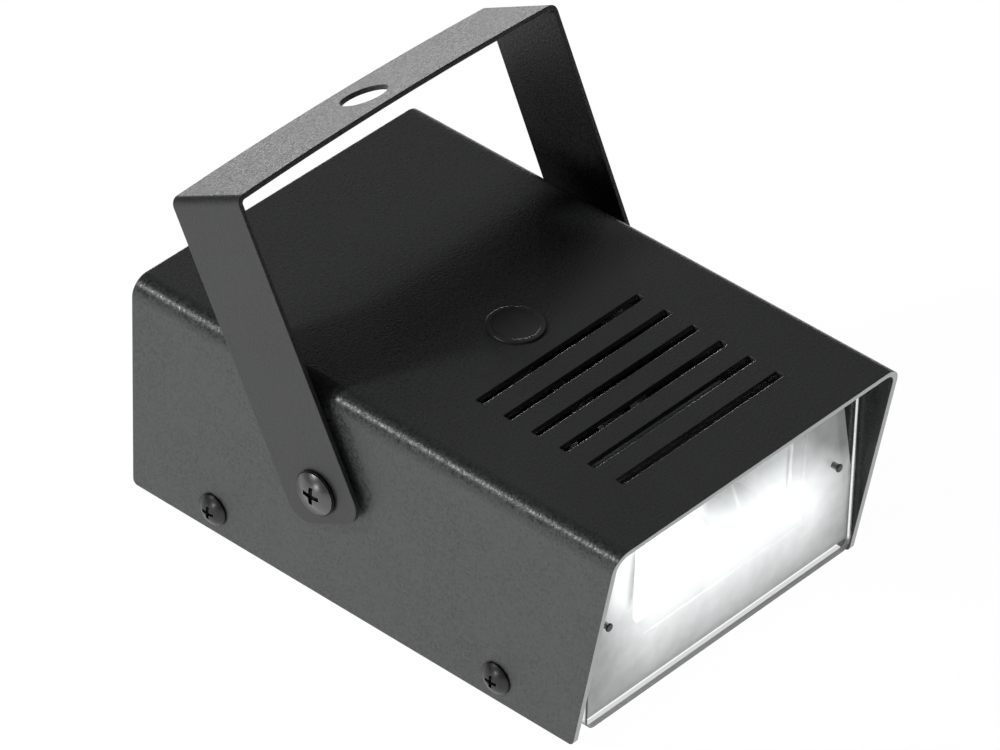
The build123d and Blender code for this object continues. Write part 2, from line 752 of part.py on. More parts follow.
def board_posts():
    """Four threaded hexagonal pillars swaged into the floor."""
    post = hex_prism(M3_AF, BOARD_Z - TRAY_T, TRAY_T) + rod(POST_FOOT_R, TRAY_T)
    return at_posts(post - rod(M3_R + FIT, BOARD_Z, TRAY_T))


def board_screws():
    """Four screws that hold the board on its pillars."""
    screw = round_screw(M3_R, M3_HEAD_R, M3_HEAD_H, POST_SCREW_LEN)
    return at_posts(Pos(0, 0, BOARD_TOP) * screw)


def storage_capacitors():
    """Two upright cans with a crimp groove and a scored vent."""
    can = rod(CAN_R, CAN_H)
    can = fillet(can.edges().sort_by(Axis.Z)[-1], CAN_EDGE)
    can -= Pos(0, 0, CAN_GROOVE_Z) * Torus(CAN_R, CAN_GROOVE)
    score = block(CAN_R, CAN_VENT, CAN_VENT, z=CAN_H - CAN_VENT / 2)
    can -= score + Rot(0, 0, 90) * score
    return [Pos(x, y, BOARD_TOP) * can for x, y in CAN_XY]


def power_resistor():
    """Ceramic block resistor that stands on its wire legs."""
    body = block(RES_W, RES_LEN, RES_W, z=RES_LIFT)
    body = chamfer(body.edges().filter_by(Axis.Y), FILM_EDGE)
    leg_y = RES_LEN / 2 - RES_W / 2
    for y in (-leg_y, leg_y):
        body += Pos(0, y) * rod(WIRE_R, RES_LIFT + FILM_EDGE)
    return Pos(RES_X, RES_Y, BOARD_TOP) * body


def trigger_coil():
    """Upright trigger transformer: flanged bobbin with a winding."""
    coil = rod(COIL_R, COIL_H) + rod(COIL_FLANGE_R, COIL_FLANGE_T)
    coil += rod(COIL_FLANGE_R, COIL_FLANGE_T, COIL_H - COIL_FLANGE_T)
    x, y = COIL_XY
    return Pos(x, y, BOARD_TOP) * coil


def film_capacitor(place, size):
    """Boxed film capacitor that sits on the board."""
    body = block(*size)
    body = fillet(body.edges().filter_by(Axis.Z), FILM_EDGE)
    body = fillet(body.faces().sort_by(Axis.Z)[-1].edges(), FILM_EDGE / 2)
    return Pos(place[0], place[1], BOARD_TOP) * body


def axial(radius, length, span, wire_r, x):
    """Axial part along Y on two bent wires that end on the board."""
    height = BOARD_TOP + AXIAL_RISE
    path = [
        (x, AXIAL_Y - span / 2, BOARD_TOP),
        (x, AXIAL_Y - span / 2, height),
        (x, AXIAL_Y + span / 2, height),
        (x, AXIAL_Y + span / 2, BOARD_TOP),
    ]
    body = rod(radius, length, -length / 2)
    body = fillet(body.edges().filter_by(GeomType.CIRCLE), radius / 3)
    return along_y(x, AXIAL_Y, height) * body + wire(path, wire_r, AXIAL_BEND)


def rectifier_diodes():
    """Four diodes side by side."""
    return [axial(DIODE_R, DIODE_LEN, DIODE_SPAN, DIODE_WIRE, x) for x in DIODE_X]


def timing_resistors():
    """Three small resistors side by side."""
    return [axial(TIMER_R, TIMER_LEN, TIMER_SPAN, TIMER_WIRE, x) for x in TIMER_X]


def thyristor():
    """Upright power switch: moulded body, metal tab and three legs."""
    wide, deep, tall = SCR_BODY
    body = block(wide, deep - SCR_TAB_T, tall, 0, SCR_TAB_T / 2, SCR_LIFT)
    body = chamfer(body.edges().filter_by(Axis.Z), FILM_EDGE / 2)
    tab_y = (SCR_TAB_T - deep) / 2
    tab = block(wide, SCR_TAB_T, tall + SCR_TAB_H, 0, tab_y, SCR_LIFT)
    hole_z = SCR_LIFT + tall + SCR_TAB_H / 2
    tab -= along_y(0, -deep, hole_z) * rod(SCR_HOLE_R, 2 * deep)
    for x in (-SCR_PITCH, 0, SCR_PITCH):
        body += block(SCR_LEG, SCR_LEG, SCR_LIFT + SCR_LEG, x, 0)
    x, y = SCR_XY
    return Pos(x, y, BOARD_TOP) * (body + tab)


def fuse():
    """Glass cartridge fuse with two metal end caps."""
    glass = rod(FUSE_GLASS_R, FUSE_LEN - 2 * FUSE_CAP, FUSE_CAP)
    low = rod(FUSE_R, FUSE_CAP)
    high = rod(FUSE_R, FUSE_CAP, FUSE_LEN - FUSE_CAP)
    return along_y(FUSE_X, FUSE_Y - FUSE_LEN / 2, FUSE_Z) * (glass + low + high)


def fuse_clips():
    """Two spring clips that hold the fuse by its caps."""
    hold = FUSE_R + FIT
    outer = hold + CLIP_T
    jaw = ring(outer, hold, CLIP_W)
    jaw -= Pos(0, -outer, 0) * block(2 * outer, outer, CLIP_W)
    stem_h = FUSE_Z - BOARD_TOP
    clip = along_y(0, -CLIP_W / 2, stem_h) * jaw
    clip += block(2 * CLIP_IN, CLIP_W, CLIP_T)
    clip += block(CLIP_IN, CLIP_W, stem_h - hold)
    reach = FUSE_LEN / 2 - CLIP_W / 2
    return [Pos(FUSE_X, FUSE_Y + s * reach, BOARD_TOP) * clip for s in (-1, 1)]


def block_ways():
    """The x positions of the terminal block's three ways."""
    return [BLOCK_X + i * BLOCK_PITCH for i in (-1, 0, 1)]


def terminal_block():
    """Three-way screw terminal with wire openings towards the rear."""
    body = block(BLOCK_W, BLOCK_D, BLOCK_H)
    lip = Pos(0, -BLOCK_D / 2, BLOCK_H) * Box(2 * BLOCK_W, BLOCK_STEP, BLOCK_STEP)
    body = Pos(BLOCK_X, BLOCK_Y, BOARD_TOP) * (body - lip)
    top = BOARD_TOP + BLOCK_H
    wire_z = EARTH_BLOCK_Z - BLOCK_WIRE_H / 2
    y_rear = BLOCK_Y + BLOCK_D / 2
    for x in block_ways():
        body -= Pos(x, BLOCK_Y) * rod(BLOCK_HOLE_R, BLOCK_STEP, top - BLOCK_STEP / 2)
        body -= Pos(x, BLOCK_Y) * rod(BLOCK_HOLE_R, BLOCK_STEP, top - BLOCK_STEP)
        if x != EARTH_RUN_X:
            body -= block(BLOCK_WIRE_W, 2 * BLOCK_WIRE_D, BLOCK_WIRE_H, x, y_rear, wire_z)
    return body


def terminal_screws():
    """Slotted clamp screws in the terminal block."""
    height = BLOCK_STEP - BLOCK_SCREW_SINK
    screw = rod(BLOCK_SCREW_R, height)
    screw -= block(2 * BLOCK_SCREW_R, TICK_W, TICK_W, z=height - TICK_W)
    z = BOARD_TOP + BLOCK_H - BLOCK_STEP
    return [Pos(x, BLOCK_Y, z) * screw for x in block_ways()]


# ---- rate control --------------------------------------------------------
def potentiometer():
    """Round body, lugs and threaded bushing with a bore for the shaft."""
    body = rod(POT_BODY_R, POT_BODY_LEN, -POT_BODY_LEN)
    body = fillet(body.edges().sort_by(Axis.Z)[0], KNOB_EDGE)
    body += rod(BUSHING_R, BUSHING_LEN)
    bore_depth = SHAFT_IN + MOVE_GAP
    body -= rod(SHAFT_R + RUN_FIT, bore_depth + BUSHING_LEN + CUT, -bore_depth)
    body = along_y(POT_X, Y_PANEL_IN, POT_Z) * body
    lug_y = Y_PANEL_IN - POT_BODY_LEN / 2
    top = POT_Z - POT_BODY_R / 2
    for x in LUG_X:
        drop = LUG_LEN + POT_BODY_R / 2
        body += block(LUG_W, LUG_T, drop, POT_X + x, lug_y, top - drop)
    return body


def pot_leads():
    """Three insulated leads from the lugs to the circuit board."""
    lug_y = Y_PANEL_IN - POT_BODY_LEN / 2
    lug_z = POT_Z - POT_BODY_R - LUG_LEN
    found = []
    for x in LUG_X:
        path = [
            (POT_X + x, lug_y, lug_z),
            (POT_X + x, lug_y, POT_LEAD_Z),
            (POT_X + x, POT_LEAD_Y, POT_LEAD_Z),
            (POT_X + x, POT_LEAD_Y, BOARD_TOP),
        ]
        found.append(wire(path, POT_LEAD_R, POT_LEAD_R + SLIDE_GAP))
    return found


def dial_plate():
    """Round scale plate with engraved ticks around the knob."""
    plate = ring(DIAL_R, BUSHING_R + SLIDE_GAP, DIAL_T)
    tick = block(TICK_W, TICK_LEN, 2 * TICK_DEPTH, z=DIAL_T - TICK_DEPTH)
    tick = Pos(0, DIAL_R - TICK_LEN, 0) * tick
    for i in range(DIAL_TICKS):
        angle = (i / (DIAL_TICKS - 1) - 1 / 2) * DIAL_SWEEP
        plate -= Rot(0, 0, angle + 180) * tick
    return along_y(POT_X, Y_PANEL, POT_Z) * plate


def pot_washer():
    """Flat washer on the dial plate."""
    washer = ring(POT_WASHER_R, BUSHING_R + FIT, POT_WASHER_T)
    return along_y(POT_X, Y_PANEL + DIAL_T, POT_Z) * washer


def pot_nut():
    """Nut on the potentiometer's bushing."""
    nut = hex_nut(POT_NUT_AF, POT_NUT_H, BUSHING_R)
    return along_y(POT_X, Y_PANEL + DIAL_T + POT_WASHER_T, POT_Z) * nut


def pot_shaft():
    """Shaft that turns in the bushing and carries the knob."""
    shaft = rod(SHAFT_R, SHAFT_IN + SHAFT_OUT, -SHAFT_IN)
    shaft = chamfer(shaft.edges().filter_by(GeomType.CIRCLE), MOVE_GAP)
    flat = block(2 * SHAFT_R, SHAFT_R, KNOB_LEN, z=BUSHING_LEN + KNOB_RISE)
    shaft -= Pos(0, SHAFT_R + GRUB_R / 2, 0) * flat
    return along_y(POT_X, Y_PANEL_IN, POT_Z) * shaft


def knob_base():
    """Y of the knob's open end, just off the dial plate."""
    return Y_PANEL + DIAL_T + POT_WASHER_T + KNOB_RISE


def knob():
    """Fluted control knob, hollow at the panel end to clear the nut."""
    hollow = BUSHING_LEN + Y_PANEL_IN + KNOB_RISE - knob_base()
    body = cone(KNOB_R, KNOB_TIP_R, KNOB_LEN)
    body = fillet(body.edges().sort_by(Axis.Z)[-1], KNOB_EDGE)
    for i in range(KNOB_FLUTES):
        groove = rod(KNOB_FLUTE_R, KNOB_LEN, hollow / 2)
        body -= Rot(0, 0, i * 360 / KNOB_FLUTES) * (Pos(KNOB_R, 0, 0) * groove)
    body -= rod(KNOB_SKIRT_R, hollow + CUT, -CUT)
    bore = Y_PANEL_IN + SHAFT_OUT + MOVE_GAP - knob_base()
    body -= rod(SHAFT_R + FIT, bore + CUT, -CUT)
    pointer = block(TICK_W, KNOB_R, 2 * TICK_W, z=KNOB_LEN - TICK_W)
    body -= Pos(0, -KNOB_R / 2, 0) * pointer
    return along_y(POT_X, knob_base(), POT_Z) * (body - grub_hole())


def grub_height():
    """Distance of the grub screw's axis from the knob's open end."""
    return KNOB_LEN - KNOB_LEN / 3


def grub_hole():
    """Radial hole for the knob's grub screw."""
    return Pos(0, 0, grub_height()) * Rot(-90, 0, 0) * rod(GRUB_R + FIT, KNOB_R + CUT)


def knob_screw():
    """Grub screw that grips the shaft's flat."""
    start = SHAFT_R - GRUB_R / 2 + FIT
    screw = rod(GRUB_R, GRUB_LEN, start)
    screw -= Pos(0, 0, start + GRUB_LEN - TICK_W) * block(2 * GRUB_R, TICK_W, TICK_W)
    screw = Pos(0, 0, grub_height()) * Rot(-90, 0, 0) * screw
    return along_y(POT_X, knob_base(), POT_Z) * screw


# ---- cable gland ---------------------------------------------------------
def gland_body():
    """Gland with its panel thread, hexagon and neck, open all the way."""
    grip = TRAY_T + GLAND_THREAD_IN
    body = rod(GLAND_R, grip, -grip)
    body += hex_prism(GLAND_AF, GLAND_FLANGE)
    body += rod(GLAND_NECK_R, GLAND_NECK, GLAND_FLANGE)
    pocket_z = GLAND_FLANGE + GLAND_NECK - SEAL_LEN + DOME_LIP
    body -= rod(GLAND_BORE_R, 2 * grip + GLAND_FLANGE, -grip - CUT)
    body -= rod(SEAL_R + FIT, SEAL_LEN + CUT, pocket_z)
    return along_y(GLAND_X, Y_PANEL, GLAND_Z) * body


def gland_seal():
    """Rubber ring that grips the cord."""
    pocket_z = GLAND_FLANGE + GLAND_NECK - SEAL_LEN + DOME_LIP
    seal = ring(SEAL_R, SEAL_BORE_R, SEAL_LEN)
    return along_y(GLAND_X, Y_PANEL + pocket_z, GLAND_Z) * seal


def gland_dome_nut():
    """Domed clamping nut on the gland's neck."""
    dome = rod(DOME_R, DOME_LEN)
    dome = fillet(dome.edges().sort_by(Axis.Z)[-1], DOME_ROUND)
    thread = GLAND_NECK + DOME_LIP
    dome -= rod(GLAND_NECK_R + FIT, thread + CUT, -CUT)
    dome -= rod(GLAND_BORE_R, DOME_LEN + CUT)
    for i in range(KNOB_FLUTES):
        groove = rod(KNOB_FLUTE_R / 2, DOME_LEN - DOME_ROUND, -CUT)
        dome -= Rot(0, 0, i * 360 / KNOB_FLUTES) * (Pos(DOME_R, 0, 0) * groove)
    return along_y(GLAND_X, Y_PANEL + GLAND_FLANGE, GLAND_Z) * dome


def gland_locknut():
    """Thin nut on the gland's thread inside the rear panel."""
    nut = hex_nut(GLAND_AF, GLAND_NUT_H, GLAND_R)
    return along_y(GLAND_X, Y_PANEL_IN - GLAND_NUT_H, GLAND_Z) * nut


# ---- protective earth ----------------------------------------------------
def earth_stud():
    """Earth stud pressed into the floor, flush underneath."""
    return Pos(EARTH_X, EARTH_Y) * rod(M4_R, EARTH_TOP)


def earth_ring():
    """Ring terminal with a tongue and a crimp barrel, clamped on the floor."""
    eye = ring(RING_R, M4_R + SCREW_CLEAR, RING_T)
    tongue = block(RING_REACH, RING_W, RING_T, RING_REACH / 2)
    tongue -= rod(RING_R - SLIDE_GAP, 3 * RING_T, -RING_T)
    barrel_r = EARTH_LEAD_R + RING_T / 2
    barrel = along_x(RING_REACH - RING_T, 0, barrel_r) * rod(barrel_r, CRIMP_LEN)
    return Pos(EARTH_X, EARTH_Y, TRAY_T) * (eye + tongue + barrel)


def earth_nut():
    """Nut that clamps the ring terminal."""
    nut = hex_nut(M4_AF, M4_NUT_H, M4_R, TRAY_T + RING_T)
    return Pos(EARTH_X, EARTH_Y) * nut


def earth_lead():
    """Insulated lead from the ring terminal to the terminal block."""
    z_low = TRAY_T + EARTH_LEAD_R + RING_T / 2
    start = EARTH_X + RING_REACH - RING_T + CRIMP_LEN
    path = [
        (start, EARTH_Y, z_low),
        (EARTH_RUN_X, EARTH_Y, z_low),
        (EARTH_RUN_X, EARTH_Y, EARTH_BLOCK_Z),
        (EARTH_RUN_X, BLOCK_Y + BLOCK_D / 2, EARTH_BLOCK_Z),
    ]
    return wire(path, EARTH_LEAD_R, EARTH_BEND)


# ---- write every node ----------------------------------------------------
save("top_cover", top_cover())
save("base_chassis", base_chassis())
save("hole_plug", hole_plug())
save("cover_screws", *cover_screws())
save("cover_nuts", *cover_nuts())
for node_name, piece in pivot_parts().items():
    save(node_name, *mirrored(piece))
save("mounting_bracket", bracket())
save("lens_plate", lens_plate())
save("lens_pins", *lens_pins())
save("reflector", reflector())
save("reflector_studs", *reflector_studs())
save("reflector_nuts", *reflector_nuts())
save("flash_tube", flash_tube())
save("tube_electrodes", *tube_electrodes())
save("trigger_wire", trigger_wire())
save("lead_bushes", *lead_bushes())
save("tube_leads", *tube_leads())
save("circuit_board", circuit_board())
save("board_posts", *board_posts())
save("board_screws", *board_screws())
save("storage_capacitors", *storage_capacitors())
save("power_resistor", power_resistor())
save("trigger_coil", trigger_coil())
save("trigger_capacitor", film_capacitor(TRIG_CAP_XY, TRIG_CAP_SIZE))
save("timing_capacitor", film_capacitor(TIME_CAP_XY, TIME_CAP_SIZE))
save("rectifier_diodes", *rectifier_diodes())
save("timing_resistors", *timing_resistors())
save("diac", axial(DIAC_R, DIAC_LEN, DIAC_SPAN, DIAC_WIRE, DIAC_X))
save("thyristor", thyristor())
save("fuse", fuse())
save("fuse_clips", *fuse_clips())
save("terminal_block", terminal_block())
save("terminal_screws", *terminal_screws())
save("potentiometer", potentiometer())
save("pot_leads", *pot_leads())
save("dial_plate", dial_plate())
save("pot_washer", pot_washer())
save("pot_nut", pot_nut())
save("pot_shaft", pot_shaft())
save("rate_knob", knob())
save("knob_screw", knob_screw())
save("gland_body", gland_body())
save("gland_seal", gland_seal())
save("gland_dome_nut", gland_dome_nut())
save("gland_locknut", gland_locknut())
save("earth_stud", earth_stud())
save("earth_ring", earth_ring())
save("earth_nut", earth_nut())
save("earth_lead", earth_lead())
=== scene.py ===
"""Looks of a small xenon stroboscope: paints, metals, glass and glow on its CAD parts."""
import math

import bpy
from mathutils import Matrix, Vector


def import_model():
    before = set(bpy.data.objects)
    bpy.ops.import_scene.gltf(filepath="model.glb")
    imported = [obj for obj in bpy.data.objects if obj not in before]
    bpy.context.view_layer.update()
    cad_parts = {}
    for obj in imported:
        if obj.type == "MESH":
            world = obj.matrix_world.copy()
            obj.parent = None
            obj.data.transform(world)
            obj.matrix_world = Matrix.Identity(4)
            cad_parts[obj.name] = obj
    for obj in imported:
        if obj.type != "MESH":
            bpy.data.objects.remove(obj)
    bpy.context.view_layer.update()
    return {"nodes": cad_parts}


MM = 0.001
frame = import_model()
NODES = frame["nodes"]

# Places on the CAD model, in mm.
PLATE_MID_Y = -54.1             # middle of the clear plate's thickness
SHEET_Y = -52.85                # face of the reflector's front sheet
TUBE = (0.0, -41.0, 31.0)       # about the middle of the flash tube
COVER_HEAD_X = 42.1             # where the painted shade at the foot of the cover screws' heads ends
PIVOT_HEAD_X = 44.75            # where the painted shade at the foot of the pivot screws' heads ends
PIVOT_CAP = (35.993, 10.7, 27.5, 10.007)    # centre and radius of a pivot screw's cap
PIVOT_CROWN_X = 40.4            # centre of the rounder crown that the cap is shaded as

# Parts of a noise's range that are stretched over a whole ramp.
GENTLE, CLOUDY, CRISP = (0.3, 0.7), (0.35, 0.7), (0.35, 0.65)


# ---- node-tree shorthand ---------------------------------------------------
class Finish:
    """A procedural material under construction: its shader, links and texture space."""

    def __init__(self, name, colour, rough, metal=0.0, specular=0.5):
        self.material = bpy.data.materials.new(name)
        self.material.use_nodes = True
        self.tree = self.material.node_tree
        self.shader = self.tree.nodes["Principled BSDF"]
        self.shader.inputs["Base Color"].default_value = (*colour, 1.0)
        self.shader.inputs["Roughness"].default_value = rough
        self.shader.inputs["Metallic"].default_value = metal
        self.shader.inputs["Specular IOR Level"].default_value = specular
        self.space = self.add("ShaderNodeTexCoord").outputs["Object"]

    def add(self, kind, **inputs):
        """Adds a node and fills or links its inputs by name."""
        node = self.tree.nodes.new(kind)
        for key, value in inputs.items():
            self.feed(node.inputs[key.replace("_", " ")], value)
        return node

    def feed(self, socket, value):
        """Links an output to the socket, or writes a plain value into it."""
        if isinstance(value, bpy.types.NodeSocket):
            self.tree.links.new(value, socket)
        else:
            socket.default_value = value

    def operate(self, kind, operation, values):
        """Adds an arithmetic node and fills its inputs in order."""
        node = self.tree.nodes.new(kind)
        node.operation = operation
        for socket, value in zip(node.inputs, values):
            self.feed(socket, value)
        return node.outputs

    def math(self, operation, *values):
        """One arithmetic step on up to three values."""
        return self.operate("ShaderNodeMath", operation, values)[0]

    def vector(self, operation, *values):
        """One arithmetic step on vectors; gives the node's outputs."""
        return self.operate("ShaderNodeVectorMath", operation, values)

    def times(self, first, *others):
        """Product of all the values."""
        for other in others:
            first = self.math("MULTIPLY", first, other)
        return first

    def noise(self, feature_mm, detail=2.0):
        """Noise between 0 and 1 whose blobs are about feature_mm across."""
        node = self.add("ShaderNodeTexNoise", Vector=self.space, Detail=detail)
        node.inputs["Scale"].default_value = 1.0 / (feature_mm * MM)
        return node.outputs["Fac"]

    def ramp(self, value, low, high, to_low=0.0, to_high=1.0):
        """Straight line from (low, to_low) to (high, to_high), clamped outside."""
        node = self.add("ShaderNodeMapRange", Value=value, From_Min=low, From_Max=high,
                        To_Min=to_low, To_Max=to_high)
        return node.outputs["Result"]

    def ramp_mm(self, value, low, high, to_low=0.0, to_high=1.0):
        """The same for a length, with its two limits in millimetres."""
        return self.ramp(value, low * MM, high * MM, to_low, to_high)

    def blend(self, share, first, second):
        """Colour that goes from first to second as share goes from 0 to 1."""
        node = self.tree.nodes.new("ShaderNodeMix")
        node.data_type = "RGBA"
        self.feed(node.inputs[0], share)
        for socket, value in ((node.inputs[6], first), (node.inputs[7], second)):
            self.feed(socket, (*value, 1.0) if isinstance(value, tuple) else value)
        return node.outputs[2]

    def place(self):
        """Object coordinates of the point, one output for each axis."""
        return self.add("ShaderNodeSeparateXYZ", Vector=self.space).outputs

    def true_normal(self):
        """Direction of the real face, before any bump."""
        return self.add("ShaderNodeNewGeometry").outputs["True Normal"]

    def facing(self):
        """The same, one output for each axis."""
        return self.add("ShaderNodeSeparateXYZ", Vector=self.true_normal()).outputs

    def size(self, value):
        """The value without its sign."""
        return self.math("ABSOLUTE", value)

    def bump(self, height, depth_mm, normal=None):
        """Relief of the given height field, depth_mm deep."""
        node = self.add("ShaderNodeBump", Height=height, Distance=depth_mm * MM)
        if normal is not None:
            self.feed(node.inputs["Normal"], normal)
        return node.outputs["Normal"]

    def edges(self, radius_mm):
        """1 on edges and corners sharper than radius_mm and 0 on flats; a rounded normal."""
        bevel = self.add("ShaderNodeBevel", Radius=radius_mm * MM)
        bevel.samples = 6
        normal = self.add("ShaderNodeNewGeometry").outputs["Normal"]
        dot = self.vector("DOT_PRODUCT", bevel.outputs["Normal"], normal)["Value"]
        flat, sharp = 0.995, 0.86       # cosine of the angle between the two normals
        return self.ramp(dot, flat, sharp), bevel.outputs["Normal"]

    def set(self, **inputs):
        """Links or writes the shader's own sockets."""
        for key, value in inputs.items():
            self.feed(self.shader.inputs[key.replace("_", " ")], value)


def lin(grey):
    """Linear value of an sRGB tone from 0 to 255."""
    share = grey / 255.0
    return share / 12.92 if share <= 0.04045 else ((share + 0.055) / 1.055) ** 2.4


def tone(red, green, blue):
    """Linear colour of an sRGB triple from 0 to 255."""
    return (lin(red), lin(green), lin(blue))


def shade(colour, factor, lift=0.0):
    """The colour made lighter or darker by a factor, with a small lift."""
    return tuple(min(1.0, c * factor + lift) for c in colour)


# ---- finishes ---------------------------------------------------------------
def powder_coat(name, colour, wear_colour, wear=0.15, rough=0.34, cut_y=None, inner_y=None):
    """Fine textured powder coat: orange peel, mottling, rubbed edges.

    With cut_y given, the sheared edges in front of that y (mm) are pale, thinly coated metal.
    With inner_y given, faces in front of that y that look inwards are painted darker: painted
    shade.
    """
    grain_mm, relief_mm = 0.55, 0.055
    coat = Finish(name, colour, rough)
    edge, soft_normal = coat.edges(0.3)
    peel = coat.noise(grain_mm, 1.0)
    speck = coat.noise(grain_mm * 0.6, 0.0)
    cloud = coat.noise(14.0, 3.0)
    lighter, darker, inward_shade_tone = shade(colour, 1.4), shade(colour, 0.66), shade(colour, 0.2)
    ground = coat.blend(coat.ramp(peel, *CRISP), darker, lighter)
    ground = coat.blend(coat.ramp(cloud, *CLOUDY, 0.0, 0.35), ground, lighter)
    scuff = coat.noise(1.6, 4.0)
    rubbed = coat.times(edge, coat.ramp(scuff, 0.42, 0.62, wear * 0.2, wear))
    place, way = coat.place(), coat.facing()
    if cut_y is not None:
        bare = coat.times(coat.ramp(way["Y"], -0.5, -0.8),
                          coat.ramp_mm(place["Y"], cut_y, cut_y - 0.5, 0.0, 0.85))
        rubbed = coat.math("MAXIMUM", rubbed, bare)
    # Painted shade: inward-looking faces in front of inner_y take a fifth of the paint's tone.
    if inner_y is not None:
        inward = coat.times(way["X"], place["X"], -1.0)
        inward_shade = coat.times(coat.ramp_mm(inward, 20.0, 30.0),
                            coat.ramp_mm(place["Y"], inner_y, inner_y - 1.0))
        ground = coat.blend(inward_shade, ground, inward_shade_tone)
    coat.set(Base_Color=coat.blend(rubbed, ground, wear_colour))
    coat.set(Roughness=coat.ramp(peel, *GENTLE, rough - 0.08, rough + 0.1))
    height = coat.math("ADD", peel, coat.times(speck, 0.2))
    coat.set(Normal=coat.bump(height, relief_mm, soft_normal))
    return coat.material


def screw_steel(name, colour, worn, foot_x, metal, cap=None):
    """Screw steel with fine turning marks, painted shade at the foot nearer than foot_x (mm), worn
    edges.

    With cap given (centre and radius of the head's cap, mm), all that lies deeper than the cap,
    the cross recess among it, is painted dark as shade, and the cap shades like a rounder crown.
    """
    steel = Finish(name, colour, 0.34, metal)
    edge, normal = steel.edges(0.2)
    fine = steel.noise(0.25, 2.0)
    spread = steel.ramp(steel.noise(0.9, 3.0), 0.4, 0.65, 0.1, 0.5)
    place = steel.place()
    # Painted shade: the foot of the head, nearer than foot_x, goes near black.
    foot = steel.ramp_mm(steel.size(place["X"]), foot_x, foot_x - 0.25)
    if cap is not None:
        middle, radius = tuple(value * MM for value in cap[:3]), cap[3]
        aside = steel.add("ShaderNodeCombineXYZ", X=steel.size(place["X"]),
                          Y=place["Y"], Z=place["Z"])
        reach = steel.vector("DISTANCE", aside.outputs["Vector"], middle)["Value"]
        # Painted shade in the cross recess and wherever the surface lies under the cap.
        recess_shade = steel.ramp_mm(reach, radius - 0.04, radius - 0.12)
        foot = steel.math("MAXIMUM", foot, recess_shade)
        crown_x = steel.times(steel.math("SIGN", place["X"]), PIVOT_CROWN_X * MM)
        crown = steel.add("ShaderNodeCombineXYZ", X=steel.math("SUBTRACT", place["X"], crown_x),
                          Y=steel.math("SUBTRACT", place["Y"], middle[1]),
                          Z=steel.math("SUBTRACT", place["Z"], middle[2]))
        turned = steel.add("ShaderNodeVectorTransform", Vector=crown.outputs["Vector"])
        turned.vector_type, turned.convert_from, turned.convert_to = "NORMAL", "OBJECT", "WORLD"
        on_cap = steel.times(steel.ramp(steel.size(steel.facing()["X"]), 0.8, 0.86),
                             steel.math("SUBTRACT", 1.0, foot))
        normal = steel.blend(on_cap, normal, turned.outputs["Vector"])
        normal = steel.vector("NORMALIZE", normal)["Vector"]
    body = steel.blend(steel.times(edge, spread), colour, worn)
    # The near-black tone is the painted shade of the foot and the recess.
    steel.set(Base_Color=steel.blend(foot, body, shade(colour, 0.05)))
    steel.set(Roughness=steel.ramp(fine, *GENTLE, 0.26, 0.42))
    steel.set(Normal=steel.bump(fine, 0.012, normal))
    return steel.material


def plated_metal(name, colour, rough=0.3):
    """Plated or bright metal with a soft satin grain and duller patches."""
    metal = Finish(name, colour, rough, 1.0)
    grain = metal.noise(0.3, 3.0)
    patch = metal.noise(3.5, 2.0)
    metal.set(Base_Color=metal.blend(metal.ramp(patch, *CLOUDY), colour, shade(colour, 0.8)))
    metal.set(Roughness=metal.ramp(grain, *GENTLE, rough * 0.8, rough * 1.35))
    metal.set(Normal=metal.bump(grain, 0.006))
    return metal.material


def moulded_plastic(name, colour, rough, grain_mm=0.5, relief_mm=0.01):
    """Moulded plastic with a faint surface grain and softened edges."""
    plastic = Finish(name, colour, rough)
    edge, soft_normal = plastic.edges(0.3)
    grain = plastic.noise(grain_mm, 2.0)
    cloud = plastic.noise(5.0, 2.0)
    pale = shade(colour, 1.25, 0.004)
    base = plastic.blend(plastic.ramp(cloud, *CLOUDY), colour, pale)
    plastic.set(Base_Color=plastic.blend(plastic.times(edge, 0.35), base, pale))
    plastic.set(Roughness=plastic.ramp(grain, *GENTLE, rough * 0.85, rough * 1.2))
    plastic.set(Normal=plastic.bump(grain, relief_mm, soft_normal))
    return plastic.material


